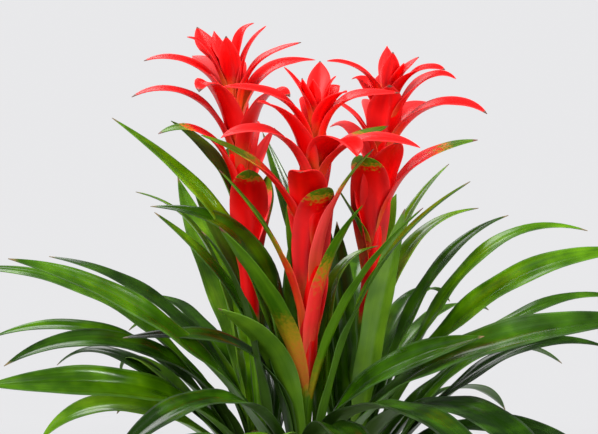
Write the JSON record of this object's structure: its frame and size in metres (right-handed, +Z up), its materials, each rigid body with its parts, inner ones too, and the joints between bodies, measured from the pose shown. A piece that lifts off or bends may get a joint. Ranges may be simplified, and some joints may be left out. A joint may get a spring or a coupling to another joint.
{
  "type": "potted guzmania",
  "caption": "Bromeliad with tall spikes of red bracts over arching strap leaves, planted in bark mix in a plain round glazed pot.",
  "frame": {"origin": "middle of the pot's flat bottom, on the surface it stands on", "axes": "+Z up along the pot's axis, -Y towards the side seen in the picture, +X to that view's right"},
  "size_m": [0.737, 0.5876, 0.637],
  "materials": {
    "pot_glaze": "smooth off-white glaze with a soft gloss",
    "bark_mix": "coarse matte bark and peat",
    "leaf": "waxy dark green blade with fine lengthwise veins",
    "bract": "satin red bract, yellow at the foot and green at some tips"
  },
  "bodies": {
    "root": {"pot": "pot_glaze", "potting_mix": "bark_mix", "rosette_front": "leaf", "rosette_left": "leaf", "rosette_right": "leaf", "spike_front": "bract", "spike_left": "bract", "spike_right": "bract"}
  },
  "joints": []
}
